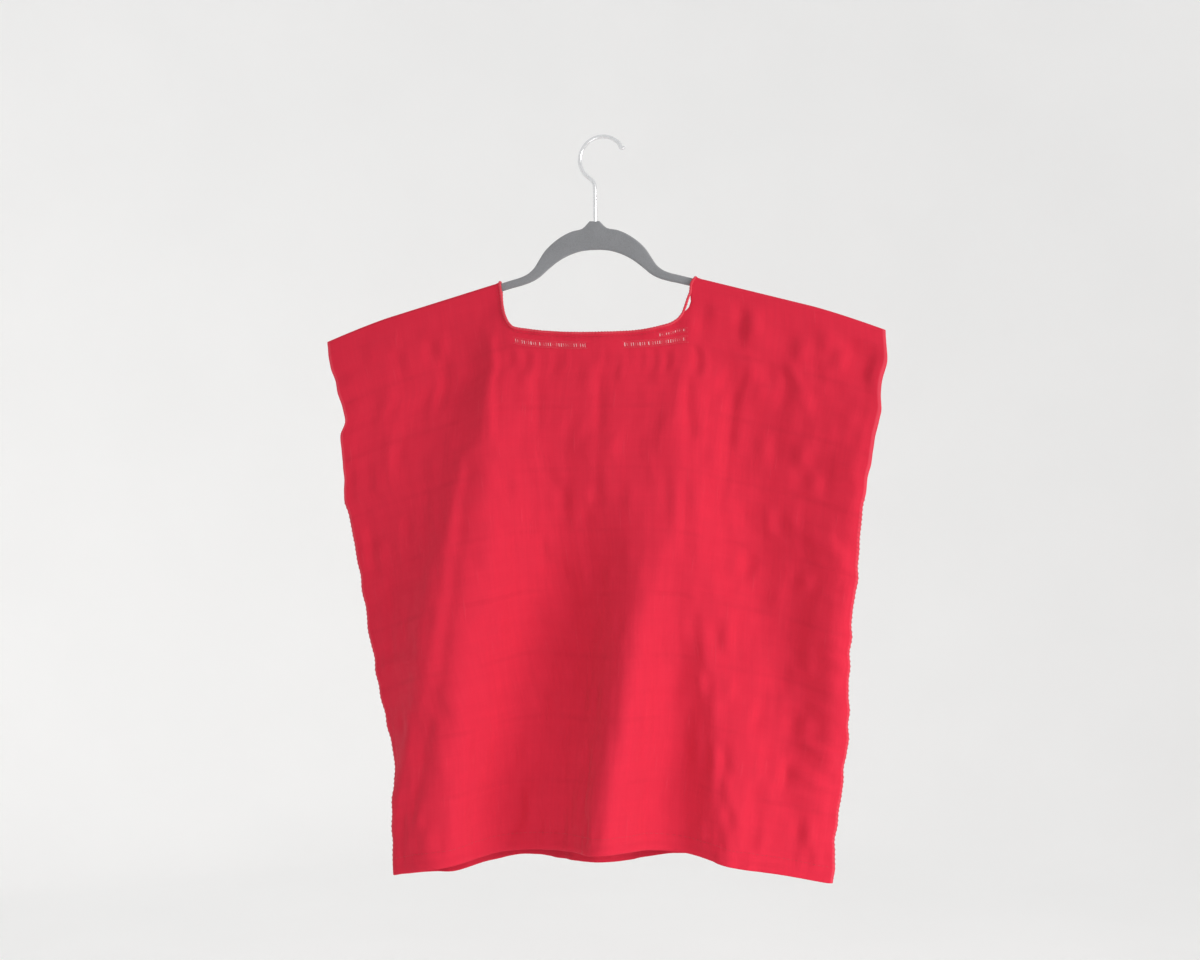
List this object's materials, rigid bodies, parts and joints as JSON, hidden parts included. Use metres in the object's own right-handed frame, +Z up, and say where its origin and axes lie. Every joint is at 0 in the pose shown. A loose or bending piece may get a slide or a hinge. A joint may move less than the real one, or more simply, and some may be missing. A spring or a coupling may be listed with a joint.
{
  "type": "huipil blouse on a hanger",
  "caption": "Square-necked, straight-cut woven cotton blouse with open armholes and a narrow turned hem, hanging in soft lengthwise folds on a slim hanger with a wire hook.",
  "frame": {"origin": "inside top of the hanger's hook, where it rests on a rail", "axes": "+Z up, +X to the right as seen from the front, +Y to the back; the front of the blouse faces -Y"},
  "size_m": [0.5699, 0.134, 0.7411],
  "materials": {
    "cotton": "matte plain-woven cotton with fine slubs and thin cross ribs",
    "neck_edge": "matte rolled and oversewn cotton edge",
    "flock": "grey flocked moulded plastic",
    "steel": "bright plated wire"
  },
  "bodies": {
    "root": {"front_panel": "cotton", "back_panel": "cotton", "neck_roll": "neck_edge", "hanger_body": "flock", "hanger_hook": "steel"}
  },
  "joints": []
}
